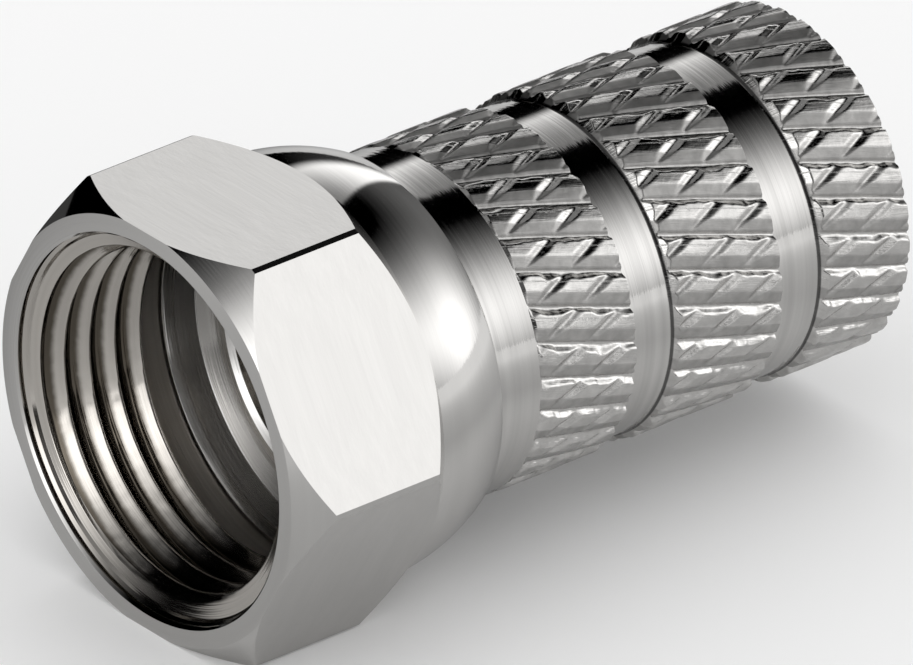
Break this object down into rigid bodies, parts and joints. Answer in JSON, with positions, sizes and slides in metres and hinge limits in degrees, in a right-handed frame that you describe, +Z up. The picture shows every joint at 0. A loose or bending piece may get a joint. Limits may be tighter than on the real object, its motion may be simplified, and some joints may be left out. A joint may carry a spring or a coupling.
{
  "type": "f connector",
  "caption": "Twist-on coaxial plug: hexagonal coupling nut with an internal thread, turning freely on a sleeve with three knurled bands and a bore for the cable.",
  "frame": {"origin": "under the middle of the plug, on the surface that it lies on", "axes": "+Y back along the plug's axis, from the mouth of the nut towards the cable; +Z up, square to the flat that it lies on"},
  "size_m": [0.0128, 0.0206, 0.011],
  "materials": {
    "nut_plating": "bright nickel plating over turned metal",
    "body_plating": "bright nickel plating over turned and knurled metal"
  },
  "bodies": {
    "sleeve": {"body": "body_plating"},
    "nut": {"coupling_nut": "nut_plating"}
  },
  "joints": [
    {"name": "nut_spin", "type": "hinge", "parent": "sleeve", "child": "nut", "pos_m": [0, -0.0045, 0.0055], "axis": [0, 1, 0], "continuous": true}
  ]
}
